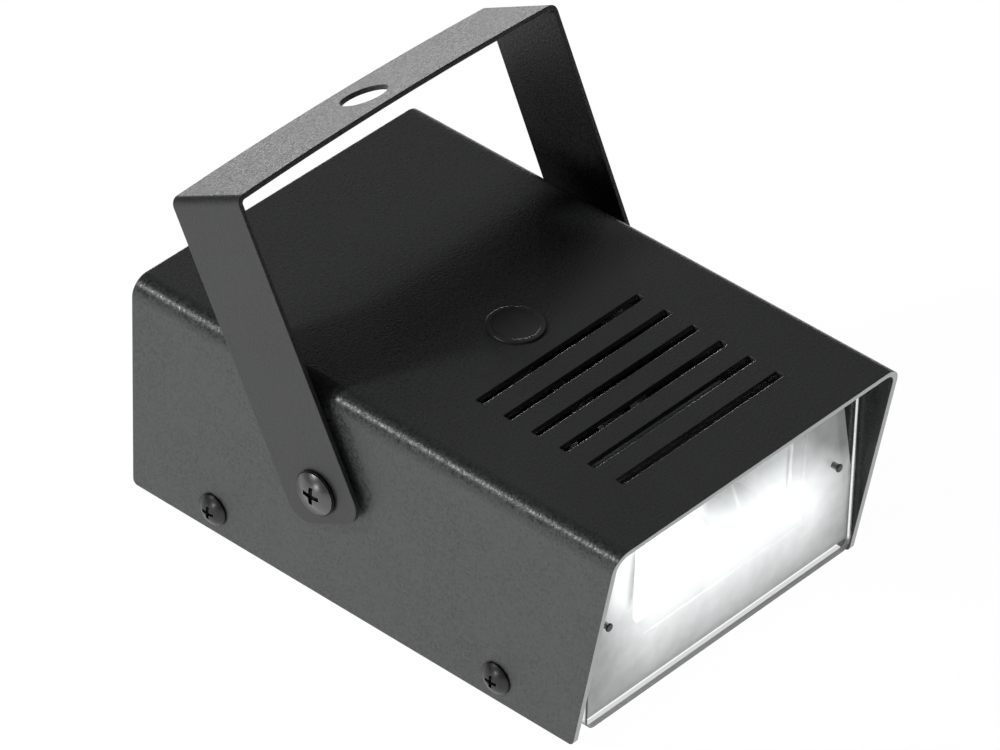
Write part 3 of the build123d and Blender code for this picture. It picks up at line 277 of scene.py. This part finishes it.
def clear_plate(name):
    """Clear acrylic sheet, faintly wavy, with sawn edges that carry a painted glow for the tube's
    light.

    The middle line of the side edges has a painted glow and their borders are painted dark as
    shade. The bottom edge has an even painted glow between two painted dark lines, and the strip
    in front of it is painted a little grey as shade.
    """
    # Colours: clear body, painted grey shade of the strip, sawn faces, painted dark borders.
    clear, strip_shade_tone = (0.985, 0.992, 0.99), (0.46, 0.465, 0.465)
    edge_tone, border_tone = (0.26, 0.265, 0.265), (0.06, 0.06, 0.06)
    # Strengths of the painted glow on the sawn edges.
    line_glow, foot_glow = 0.75, 0.1
    # Ranges in mm: off the middle of the thickness, up from z = 0, out from the centre.
    core_off, broad_off = (0.3, 0.6), (0.7, 0.9)
    foot_z, strip_z, side_x = (5.0, 4.0), (3.85, 3.75), (38.0, 38.4)
    plate = Finish(name, clear, 0.03)
    plate.set(Transmission_Weight=1.0, IOR=1.2)
    haze = plate.noise(9.0, 3.0)
    saw = plate.noise(0.4, 2.0)
    place = plate.place()
    sawn = plate.ramp(plate.size(plate.facing()["Y"]), 0.8, 0.5)
    off = plate.size(plate.math("SUBTRACT", place["Y"], PLATE_MID_Y * MM))
    core = plate.ramp_mm(off, *core_off, 1.0, 0.0)
    broad = plate.ramp_mm(off, *broad_off, 1.0, 0.0)
    foot = plate.ramp_mm(place["Z"], *foot_z)
    rim = plate.math("MAXIMUM", foot, plate.ramp_mm(plate.size(place["X"]), *side_x))
    # Painted glow: a bright middle line on the side edges and an even glow along the bottom edge.
    line = plate.times(core, line_glow)
    extra = plate.math("SUBTRACT", plate.times(broad, foot_glow), line)
    shine = plate.times(plate.math("MULTIPLY_ADD", foot, extra, line), rim,
                        plate.ramp(saw, *GENTLE, 0.85, 1.1))
    # Painted shade: dark borders on the sawn edges.
    border = plate.times(sawn, plate.math("SUBTRACT", 1.0, plate.times(foot, broad, 0.75)))
    # Painted shade: the grey strip in front of the bottom edge.
    strip = plate.ramp_mm(place["Z"], *strip_z)
    body = plate.blend(sawn, plate.blend(strip, clear, strip_shade_tone), edge_tone)
    plate.set(Base_Color=plate.blend(border, body, border_tone))
    smooth = plate.ramp(haze, 0.4, 0.75, 0.02, 0.06)
    plate.set(Roughness=plate.math("MULTIPLY_ADD", sawn, 0.5, smooth))
    plate.set(Emission_Color=(0.98, 1.0, 0.99, 1.0), Emission_Strength=plate.times(sawn, shine))
    return plate.material


def tube_quartz(name):
    """Flash tube glass, lit from inside by the discharge."""
    glass = Finish(name, (1.0, 1.0, 1.0), 0.08)
    glass.set(Transmission_Weight=0.3, Emission_Color=(0.97, 0.99, 1.0, 1.0))
    streak = glass.noise(1.5, 2.0)
    glass.set(Emission_Strength=glass.ramp(streak, *GENTLE, 3.0, 4.0))
    glass.set(Roughness=glass.ramp(streak, *GENTLE, 0.05, 0.12))
    return glass.material


def bright_sheet(name):
    """Satin aluminium sheet with a painted glow for the flash tube's light, bright round the tube
    and greyer away from it.

    The painted glow on the front sheet is a broad hill of light, limited by a straight rise from
    the lower edge, with smaller hills added. A hill is exp(-(dx/wide)^power - (dz/tall)^2) in
    millimetres across and up. Inside the trough the painted light is even, with painted dim and
    bright bands: painted shade and painted reflections.
    Deeper points slide along the slanted trough, so across is x - 1.15 d and up is
    z + 1.17 d, with d the depth behind the front sheet. Faces that look away from the tube
    stay dark.
    """
    sheet = Finish(name, tone(150, 152, 153), 0.4, 0.2)
    brush = sheet.noise(0.5, 3.0)
    dent = sheet.noise(6.0, 2.0)
    streak = sheet.noise(2.4, 2.0)
    place = sheet.place()
    x, y, z = (sheet.math("DIVIDE", place[axis], MM) for axis in "XYZ")
    depth = sheet.math("SUBTRACT", y, SHEET_Y)
    slide_across, slide_up = -1.15, 1.17        # per mm of depth
    across = sheet.math("MULTIPLY_ADD", depth, slide_across, x)
    up = sheet.math("MULTIPLY_ADD", depth, slide_up, z)

    def hill(x_mid, z_mid, wide, tall, height, power=2.0):
        """One soft hill of light on the sheet, flatter across with a higher power."""
        steps = []
        for value, middle, reach, bend in ((across, x_mid, wide, power), (up, z_mid, tall, 2.0)):
            share = sheet.math("DIVIDE", sheet.math("SUBTRACT", value, middle), reach)
            steps.append(sheet.math("POWER", sheet.size(share), bend))
        fall = sheet.math("EXPONENT", sheet.times(sheet.math("ADD", *steps), -1.0))
        return sheet.times(fall, height)

    def light_band(x_low, z_low, x_high, z_high, wide, height):
        """A narrow painted band of light along a slanted line, fading past its ends; a negative
        light paints shade.
        """
        run, climb = x_high - x_low, z_high - z_low
        length = math.hypot(run, climb)
        off_x, off_z = sheet.math("SUBTRACT", across, x_low), sheet.math("SUBTRACT", up, z_low)
        cosine, sine = run / length, climb / length
        gap = sheet.math("SUBTRACT", sheet.times(off_x, sine), sheet.times(off_z, cosine))
        along = sheet.math("ADD", sheet.times(off_x, cosine), sheet.times(off_z, sine))
        ridge = sheet.ramp(sheet.size(gap), 0.0, wide, height, 0.0)
        return sheet.times(ridge, sheet.ramp(along, -1.0, 2.0),
                           sheet.ramp(along, length - 2.0, length + 1.0, 1.0, 0.0))

    # Painted bands of light and shade: x and z of the lower end, x and z of the upper end, half
    # width, light.
    # Painted shade: a grey band along the trough's left edge.
    left_shade_band = light_band(-26.0, 25.0, -24.8, 38.5, 1.6, -0.5)
    trough_light_bands = ((2.0, 24.0, -8.0, 38.0, 1.0, -0.2), (19.9, 26.0, 19.9, 38.0, 0.5, -0.3),
                    (21.0, 24.0, 21.0, 38.0, 0.4, 0.35), (7.0, 28.0, 4.0, 37.0, 0.6, 0.2))
    full_light, least_deep = 0.8, 0.1
    # Painted glow for the tube's light on the front sheet.
    glow = sheet.math("MINIMUM", hill(4.5, 20.5, 30.0, 12.0, 1.15, 4.0),
                      sheet.ramp(up, 2.0, 19.0, 0.0, full_light))
    for extra in (hill(-27.0, 34.0, 7.0, 9.0, 1.0), hill(35.0, 34.0, 9.0, 9.0, -0.3),
                  sheet.ramp(up, 4.0, 34.0, 0.03, 0.0)):
        glow = sheet.math("ADD", glow, extra)
    glow = sheet.math("ADD", sheet.math("MINIMUM", glow, full_light), left_shade_band)
    # Painted shade: the upper part of the trough is dimmer, except at its left end.
    dim_corner = sheet.times(sheet.ramp(up, 28.0, 36.0), sheet.ramp(across, -7.0, -3.0, 0.0, 0.6))
    deep = sheet.math("ADD", sheet.math("SUBTRACT", full_light, dim_corner), left_shade_band)
    for ends in trough_light_bands:
        deep = sheet.math("ADD", deep, light_band(*ends))
    inside = sheet.ramp(y, -51.3, -50.6)
    change = sheet.math("SUBTRACT", sheet.math("MAXIMUM", deep, least_deep), glow)
    level = sheet.math("MULTIPLY_ADD", inside, change, glow)
    level = sheet.math("ADD", level, sheet.ramp(streak, *CLOUDY, -0.02, 0.03))
    level = sheet.math("MAXIMUM", level, 0.0)
    towards = sheet.vector("SUBTRACT", tuple(value * MM for value in TUBE), sheet.space)["Vector"]
    open_side = sheet.vector("DOT_PRODUCT", sheet.true_normal(), towards)["Value"]
    lit = sheet.math("MAXIMUM", sheet.ramp(open_side, 0.0, 0.001), sheet.ramp(y, -50.9, -51.1))
    pale, dull = tone(154, 156, 157), tone(136, 138, 139)
    sheet.set(Base_Color=sheet.blend(sheet.ramp(dent, *CLOUDY), pale, dull))
    sheet.set(Roughness=sheet.ramp(brush, *GENTLE, 0.34, 0.5))
    # Emission carries the painted glow and painted shade.
    sheet.set(Emission_Color=(0.99, 1.0, 1.0, 1.0), Emission_Strength=sheet.times(level, lit))
    sheet.set(Normal=sheet.bump(sheet.math("ADD", brush, sheet.times(dent, 3.0)), 0.015))
    return sheet.material


def laminate_board(name):
    """Brown board laminate with soft clouds and a fine weave."""
    board = Finish(name, tone(150, 118, 62), 0.5)
    weave = board.noise(0.6, 2.0)
    cloud = board.noise(8.0, 3.0)
    strip_shade_tone = board.blend(board.ramp(cloud, *CRISP), tone(140, 106, 54), tone(166, 134, 78))
    fibre = board.ramp(weave, *CRISP, 0.0, 0.4)
    board.set(Base_Color=board.blend(fibre, strip_shade_tone, tone(120, 90, 45)))
    board.set(Normal=board.bump(weave, 0.02))
    return board.material


# ---- which part wears which finish -------------------------------------------
def dress():
    """Gives every CAD part its finish."""
    paint, rubbed = tone(56, 59, 57), tone(120, 120, 120)
    past_rear = 200.0       # mm; every inward face of the bracket lies in front of it, so all of them get painted shade
    wears = {
        # Through inner_y, the housing's inward faces near the front and all of the bracket's
        # inward faces get painted shade.
        powder_coat("housing_paint", paint, tone(170, 172, 172), cut_y=-50.0, inner_y=-48.0):
            ["top_cover"],
        powder_coat("tray_paint", paint, tone(140, 142, 142), wear=0.3): ["base_chassis"],
        powder_coat("bracket_paint", tone(40, 41, 41), rubbed, wear=0.1, rough=0.38,
                    inner_y=past_rear): ["mounting_bracket"],
        screw_steel("black_steel", tone(52, 52, 53), rubbed, COVER_HEAD_X, 0.55): ["cover_screws"],
        screw_steel("pivot_steel", tone(96, 96, 96), tone(190, 190, 190), PIVOT_HEAD_X, 0.7,
                    PIVOT_CAP): ["pivot_screws"],
        plated_metal("zinc_steel", tone(205, 205, 200)):
            ["knob_screw", "cover_nuts", "pivot_washers", "pivot_lock_washers", "pivot_nuts",
             "reflector_studs", "reflector_nuts", "board_screws", "terminal_screws", "pot_washer",
             "pot_nut", "earth_stud", "earth_nut"],
        plated_metal("nickel_wire", tone(212, 210, 204), 0.25):
            ["trigger_wire", "tube_electrodes", "fuse_clips", "earth_ring"],
        plated_metal("brass_post", tone(202, 172, 96)): ["board_posts"],
        plated_metal("pot_case", tone(190, 190, 188), 0.35): ["potentiometer", "pot_shaft"],
        clear_plate("clear_acrylic"): ["lens_plate"],
        bright_sheet("bright_aluminium"): ["reflector"],
        tube_quartz("tube_glass"): ["flash_tube"],
        laminate_board("board_laminate"): ["circuit_board"],
    }
    # Plastics, ceramics and sleeves: sRGB tone, roughness, then grain and relief if not usual.
    plastics = {
        "plug_plastic": (["hole_plug"], (56, 58, 57), 0.3),
        "pivot_spacer_nylon": (["pivot_spacers"], (30, 30, 31), 0.5),
        "knob_plastic": (["rate_knob"], (34, 34, 36), 0.45, 0.4, 0.02),
        "pin_plastic": (["lens_pins"], (45, 46, 48), 0.4),
        "white_lead": (["tube_leads", "pot_leads"], (214, 212, 206), 0.4),
        "white_ceramic": (["lead_bushes", "power_resistor"], (228, 226, 218), 0.3),
        "can_sleeve": (["storage_capacitors"], (26, 28, 34), 0.35),
        "coil_tape": (["trigger_coil"], (120, 92, 40), 0.5),
        "film_box": (["trigger_capacitor", "timing_capacitor"], (158, 66, 36), 0.3),
        "black_epoxy": (["rectifier_diodes", "thyristor"], (38, 38, 40), 0.45),
        "resistor_body": (["timing_resistors"], (196, 172, 128), 0.4),
        "diac_body": (["diac"], (60, 90, 150), 0.3),
        "fuse_body": (["fuse"], (208, 214, 212), 0.12),
        "terminal_green": (["terminal_block"], (40, 120, 66), 0.35),
        "dial_face": (["dial_plate"], (46, 47, 49), 0.4),
        "gland_nylon": (["gland_body", "gland_dome_nut", "gland_locknut"], (42, 42, 43),
                        0.42, 0.5, 0.02),
        "seal_rubber": (["gland_seal"], (30, 30, 30), 0.7),
        "earth_sleeve": (["earth_lead"], (96, 150, 48), 0.4),
    }
    for name, (parts, grey, *surface) in plastics.items():
        wears[moulded_plastic(name, tone(*grey), *surface)] = parts
    for material, parts in wears.items():
        for part in parts:
            slots = NODES[part].data.materials
            slots.clear()
            slots.append(material)


# ---- studio -------------------------------------------------------------------
def sees_backdrop(tree, kinds):
    """1 for rays of the named kinds, 0 for the rest."""
    path = tree.nodes.new("ShaderNodeLightPath")
    total = path.outputs[kinds[0]]
    for kind in kinds[1:]:
        either = tree.nodes.new("ShaderNodeMath")
        either.operation = "MAXIMUM"
        tree.links.new(total, either.inputs[0])
        tree.links.new(path.outputs[kind], either.inputs[1])
        total = either.outputs[0]
    return total


def world():
    """White behind the object, a dim even room above the white floor for the rest."""
    dim, white = 0.06, 1.0
    room = bpy.data.worlds.new("studio")
    bpy.context.scene.world = room
    room.use_nodes = True
    tree = room.node_tree
    mix = tree.nodes.new("ShaderNodeMix")
    mix.data_type = "RGBA"
    tree.links.new(sees_backdrop(tree, ("Is Camera Ray", "Is Transmission Ray")), mix.inputs[0])
    mix.inputs[6].default_value = (dim, dim, dim, 1.0)
    mix.inputs[7].default_value = (white, white, white, 1.0)
    tree.links.new(mix.outputs[2], tree.nodes["Background"].inputs["Color"])


def floor():
    """Wide white floor just under z = 0 that keeps a soft shadow.

    It glows: nearly white to rays that see it directly, through the plate or mirrored, and
    brighter in its bounced light, which helps to light the object's sides.
    """
    half, low = 3.0, -0.1 * MM
    seen_share, bounce_share = 0.9, 0.5
    seen_glow, bounce_glow = 1.09, 2.6
    corners = [(-half, -half, low), (half, -half, low), (half, half, low), (-half, half, low)]
    mesh = bpy.data.meshes.new("floor")
    mesh.from_pydata(corners, [], [(0, 1, 2, 3)])
    plane = bpy.data.objects.new("floor", mesh)
    bpy.context.scene.collection.objects.link(plane)
    paper = Finish("floor_paper", (0.82, 0.82, 0.82), 0.9, 0.0, 0.1)
    seen = sees_backdrop(paper.tree, ("Is Camera Ray", "Is Glossy Ray", "Is Transmission Ray"))
    strength = paper.math("MULTIPLY_ADD", seen, seen_glow - bounce_glow, bounce_glow)
    glow = paper.add("ShaderNodeEmission", Strength=strength)
    mix = paper.add("ShaderNodeMixShader")
    share = paper.math("MAXIMUM", paper.times(seen, seen_share), bounce_share)
    blended = (share, paper.shader.outputs["BSDF"], glow.outputs["Emission"])
    for socket, value in zip(mix.inputs, blended):
        paper.feed(socket, value)
    paper.feed(paper.tree.nodes["Material Output"].inputs["Surface"], mix.outputs[0])
    mesh.materials.append(paper.material)


def lamp(name, towards, distance, width, height, power):
    """Area lamp (m, W) at a direction from the object, aimed at its middle."""
    middle = Vector((0.0, 0.0, 0.03))
    light = bpy.data.lights.new(name, "AREA")
    light.shape = "RECTANGLE"
    light.size, light.size_y, light.energy = width, height, power
    holder = bpy.data.objects.new(name, light)
    place = middle + Vector(towards).normalized() * distance
    turn = (place - middle).to_track_quat("Z", "Y").to_matrix().to_4x4()
    holder.matrix_world = Matrix.Translation(place) @ turn
    bpy.context.scene.collection.objects.link(holder)


def camera():
    """The photograph's viewpoint, solved from the edges of the housing."""
    azimuth, elevation, roll = (math.radians(angle) for angle in (-49.008, 37.469, 1.768))
    shift_right, shift_up, distance, aim_z = -2.182, 9.687, 1488.0, 25.0    # mm
    focal_px, image_px, sensor_mm = 7633.0, 1000.0, 36.0
    back = Vector((math.sin(azimuth) * math.cos(elevation),
                   -math.cos(azimuth) * math.cos(elevation), math.sin(elevation)))
    level = (-back).cross(Vector((0, 0, 1))).normalized()
    rise = level.cross(-back)
    right = level * math.cos(roll) + rise * math.sin(roll)
    up = rise * math.cos(roll) - level * math.sin(roll)
    place = (Vector((0, 0, aim_z)) + right * shift_right + up * shift_up + back * distance) * MM
    data = bpy.data.cameras.new("viewpoint")
    data.lens = focal_px / image_px * sensor_mm
    data.sensor_width = sensor_mm
    data.clip_end = 50.0
    eye = bpy.data.objects.new("viewpoint", data)
    eye.matrix_world = Matrix.Translation(place) @ Matrix((right, up, back)).transposed().to_4x4()
    bpy.context.scene.collection.objects.link(eye)
    bpy.context.scene.camera = eye


camera()
dress()
world()
floor()
# Each lamp: direction, distance, width and height (m), power (W).
lamp("side", (-0.955, 0.163, 0.178), 1.2, 0.15, 0.15, 2.6)
lamp("high", (-0.607, 0.52, 0.598), 1.2, 0.12, 0.12, 4.0)
lamp("sheen", (0.6, 0.52, 0.61), 1.5, 1.0, 1.0, 0.7)
lamp("back", (0.6, 0.8, 0.06), 1.5, 0.6, 0.12, 2.3)
bpy.context.scene.view_settings.view_transform = "Standard"
